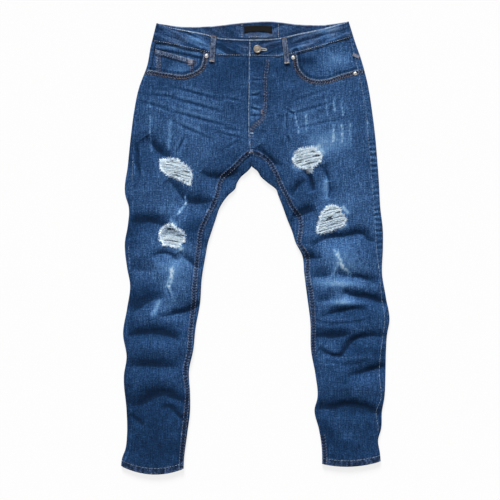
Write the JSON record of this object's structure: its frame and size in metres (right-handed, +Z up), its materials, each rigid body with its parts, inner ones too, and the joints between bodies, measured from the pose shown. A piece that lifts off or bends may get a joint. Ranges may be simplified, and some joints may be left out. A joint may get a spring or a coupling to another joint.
{
  "type": "ripped jeans",
  "caption": "Slim blue five-pocket jeans with worn-through holes on the thighs and knees, laid flat on their back, rigid as stored.",
  "frame": {"origin": "under the middle of the bounding box, on the surface that the jeans lie on", "axes": "+Y along the jeans from the hems to the waist, +X towards the wearer's left leg, +Z up from the surface, out of the front of the jeans"},
  "size_m": [0.6156, 1.04, 0.0164],
  "materials": {
    "denim": "worn mid-blue twill, matt",
    "denim_dark": "mid-blue twill, less faded, matt",
    "worn_weft": "bare pale weft threads, matt",
    "label_weave": "black woven tape, matt",
    "antique_nickel": "antique nickel, worn",
    "bright_nickel": "bright nickel"
  },
  "bodies": {
    "root": {"front_right": "denim", "front_left": "denim", "back_right": "denim", "back_left": "denim", "pocket_facing_right": "denim", "pocket_facing_left": "denim", "coin_pocket": "denim", "back_pocket_right": "denim", "back_pocket_left": "denim", "yoke_right": "denim_dark", "yoke_left": "denim_dark", "waistband": "denim_dark", "belt_loop_front_right": "denim_dark", "belt_loop_front_left": "denim_dark", "belt_loop_back_right": "denim_dark", "belt_loop_back_centre": "denim_dark", "belt_loop_back_left": "denim_dark", "rip_threads_thigh_right": "worn_weft", "rip_threads_knee_right": "worn_weft", "rip_threads_thigh_left": "worn_weft", "rip_threads_knee_left": "worn_weft", "label": "label_weave", "button": "antique_nickel", "rivet_right_inner": "bright_nickel", "rivet_left_inner": "bright_nickel", "rivet_left_outer": "bright_nickel"}
  },
  "joints": []
}
